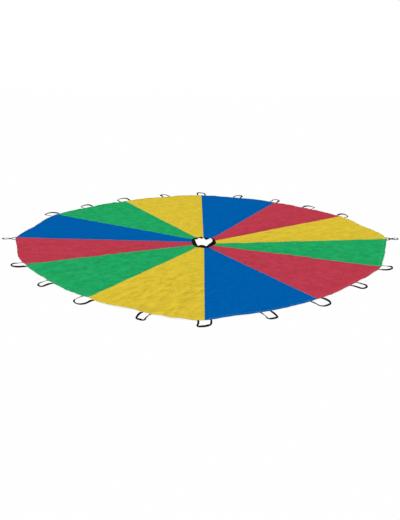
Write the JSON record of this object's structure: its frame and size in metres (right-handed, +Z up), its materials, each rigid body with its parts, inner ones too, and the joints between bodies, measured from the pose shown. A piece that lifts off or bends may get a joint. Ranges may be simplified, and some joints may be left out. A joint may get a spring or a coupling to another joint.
{
  "type": "play parachute",
  "caption": "Round cloth play parachute laid flat: coloured gores sewn edge to edge, a bound open crown and webbing hand loops round the hem.",
  "frame": {"origin": "on the floor, at the middle of the area that the spread toy and its loops cover", "axes": "+Z up from the floor, +Y away from the side that the picture is taken from, +X to that viewer's right"},
  "size_m": [6.3848, 6.9003, 0.0323],
  "materials": {
    "blue_cloth": "plain-woven polyester taffeta, blue",
    "red_cloth": "plain-woven polyester taffeta, red",
    "yellow_cloth": "plain-woven polyester taffeta, yellow",
    "green_cloth": "plain-woven polyester taffeta, green",
    "black_webbing": "flat woven polypropylene webbing, black",
    "white_thread": "polyester sewing thread, off-white",
    "black_thread": "polyester sewing thread, black"
  },
  "bodies": {
    "canopy": {"gore_01": "blue_cloth", "gore_02": "red_cloth", "gore_03": "yellow_cloth", "gore_04": "green_cloth", "gore_05": "red_cloth", "gore_06": "blue_cloth", "gore_07": "yellow_cloth", "gore_08": "green_cloth", "gore_09": "red_cloth", "gore_10": "blue_cloth", "gore_11": "green_cloth", "gore_12": "yellow_cloth", "rim_webbing": "black_webbing", "hem_stitching": "white_thread", "seam_stitching_01": "white_thread", "seam_stitching_02": "white_thread", "seam_stitching_03": "white_thread", "seam_stitching_04": "white_thread", "seam_stitching_05": "white_thread", "seam_stitching_06": "white_thread", "seam_stitching_07": "white_thread", "seam_stitching_08": "white_thread", "seam_stitching_09": "white_thread", "seam_stitching_10": "white_thread", "seam_stitching_11": "white_thread", "seam_stitching_12": "white_thread"},
    "crown": {"crown_binding": "black_webbing", "crown_stitching": "black_thread"},
    "handle_01": {"handle_01": "black_webbing"},
    "handle_02": {"handle_02": "black_webbing"},
    "handle_03": {"handle_03": "black_webbing"},
    "handle_04": {"handle_04": "black_webbing"},
    "handle_05": {"handle_05": "black_webbing"},
    "handle_06": {"handle_06": "black_webbing"},
    "handle_07": {"handle_07": "black_webbing"},
    "handle_08": {"handle_08": "black_webbing"},
    "handle_09": {"handle_09": "black_webbing"},
    "handle_10": {"handle_10": "black_webbing"},
    "handle_11": {"handle_11": "black_webbing"},
    "handle_12": {"handle_12": "black_webbing"},
    "handle_13": {"handle_13": "black_webbing"},
    "handle_14": {"handle_14": "black_webbing"},
    "handle_15": {"handle_15": "black_webbing"},
    "handle_16": {"handle_16": "black_webbing"},
    "handle_17": {"handle_17": "black_webbing"},
    "handle_18": {"handle_18": "black_webbing"},
    "handle_19": {"handle_19": "black_webbing"},
    "handle_20": {"handle_20": "black_webbing"}
  },
  "joints": [
    {"name": "crown_lift", "type": "slide", "parent": "canopy", "child": "crown", "axis": [0, 0, 1], "range_m": [0, 0.5], "deforming": ["gore_01", "gore_02", "gore_03", "gore_04", "gore_05", "gore_06", "gore_07", "gore_08", "gore_09", "gore_10", "gore_11", "gore_12", "seam_stitching_01", "seam_stitching_02", "seam_stitching_03", "seam_stitching_04", "seam_stitching_05", "seam_stitching_06", "seam_stitching_07", "seam_stitching_08", "seam_stitching_09", "seam_stitching_10", "seam_stitching_11", "seam_stitching_12"]},
    {"name": "handle_01_swing", "type": "hinge", "parent": "canopy", "child": "handle_01", "pos_m": [-0.02951, 3.24268, 0.003], "axis": [0.9985, -0.0555, 0], "range_deg": [0, 150]},
    {"name": "handle_02_swing", "type": "hinge", "parent": "canopy", "child": "handle_02", "pos_m": [0.68537, 3.05805, 0.003], "axis": [0.9539, -0.3, 0], "range_deg": [0, 150]},
    {"name": "handle_03_swing", "type": "hinge", "parent": "canopy", "child": "handle_03", "pos_m": [1.38659, 2.70179, 0.003], "axis": [0.801, -0.5987, 0], "range_deg": [0, 150]},
    {"name": "handle_04_swing", "type": "hinge", "parent": "canopy", "child": "handle_04", "pos_m": [1.97671, 2.22392, 0.003], "axis": [0.7357, -0.6773, 0], "range_deg": [0, 150]},
    {"name": "handle_05_swing", "type": "hinge", "parent": "canopy", "child": "handle_05", "pos_m": [2.5182, 1.63411, 0.003], "axis": [0.5451, -0.8384, 0], "range_deg": [0, 150]},
    {"name": "handle_06_swing", "type": "hinge", "parent": "canopy", "child": "handle_06", "pos_m": [3.00247, 0.2029, 0.003], "axis": [-0.0821, -0.9966, 0], "range_deg": [0, 150]},
    {"name": "handle_07_swing", "type": "hinge", "parent": "canopy", "child": "handle_07", "pos_m": [2.55398, -1.26239, 0.003], "axis": [-0.4525, -0.8918, 0], "range_deg": [0, 150]},
    {"name": "handle_08_swing", "type": "hinge", "parent": "canopy", "child": "handle_08", "pos_m": [2.03375, -1.96289, 0.003], "axis": [-0.6321, -0.7749, 0], "range_deg": [0, 150]},
    {"name": "handle_09_swing", "type": "hinge", "parent": "canopy", "child": "handle_09", "pos_m": [1.44173, -2.55585, 0.003], "axis": [-0.7834, -0.6215, 0], "range_deg": [0, 150]},
    {"name": "handle_10_swing", "type": "hinge", "parent": "canopy", "child": "handle_10", "pos_m": [0.77574, -2.97091, 0.003], "axis": [-0.9106, -0.4133, 0], "range_deg": [0, 150]},
    {"name": "handle_11_swing", "type": "hinge", "parent": "canopy", "child": "handle_11", "pos_m": [0.04407, -3.24849, 0.003], "axis": [-0.9894, -0.1454, 0], "range_deg": [0, 150]},
    {"name": "handle_12_swing", "type": "hinge", "parent": "canopy", "child": "handle_12", "pos_m": [-0.64378, -3.05595, 0.003], "axis": [-0.8642, 0.5031, 0], "range_deg": [0, 150]},
    {"name": "handle_13_swing", "type": "hinge", "parent": "canopy", "child": "handle_13", "pos_m": [-1.40717, -2.58617, 0.003], "axis": [-0.7585, 0.6517, 0], "range_deg": [0, 150]},
    {"name": "handle_14_swing", "type": "hinge", "parent": "canopy", "child": "handle_14", "pos_m": [-2.00432, -2.01164, 0.003], "axis": [-0.6371, 0.7708, 0], "range_deg": [0, 150]},
    {"name": "handle_15_swing", "type": "hinge", "parent": "canopy", "child": "handle_15", "pos_m": [-2.51619, -1.29805, 0.003], "axis": [-0.5096, 0.8604, 0], "range_deg": [0, 150]},
    {"name": "handle_16_swing", "type": "hinge", "parent": "canopy", "child": "handle_16", "pos_m": [-2.98833, 0.00779, 0.003], "axis": [-0.1818, 0.9833, 0], "range_deg": [0, 150]},
    {"name": "handle_17_swing", "type": "hinge", "parent": "canopy", "child": "handle_17", "pos_m": [-2.65322, 1.53604, 0.003], "axis": [0.4609, 0.8874, 0], "range_deg": [0, 150]},
    {"name": "handle_18_swing", "type": "hinge", "parent": "canopy", "child": "handle_18", "pos_m": [-2.15397, 2.11822, 0.003], "axis": [0.7146, 0.6996, 0], "range_deg": [0, 150]},
    {"name": "handle_19_swing", "type": "hinge", "parent": "canopy", "child": "handle_19", "pos_m": [-1.51594, 2.65469, 0.003], "axis": [0.8009, 0.5988, 0], "range_deg": [0, 150]},
    {"name": "handle_20_swing", "type": "hinge", "parent": "canopy", "child": "handle_20", "pos_m": [-0.73329, 3.07074, 0.003], "axis": [0.9233, 0.384, 0], "range_deg": [0, 150]}
  ]
}
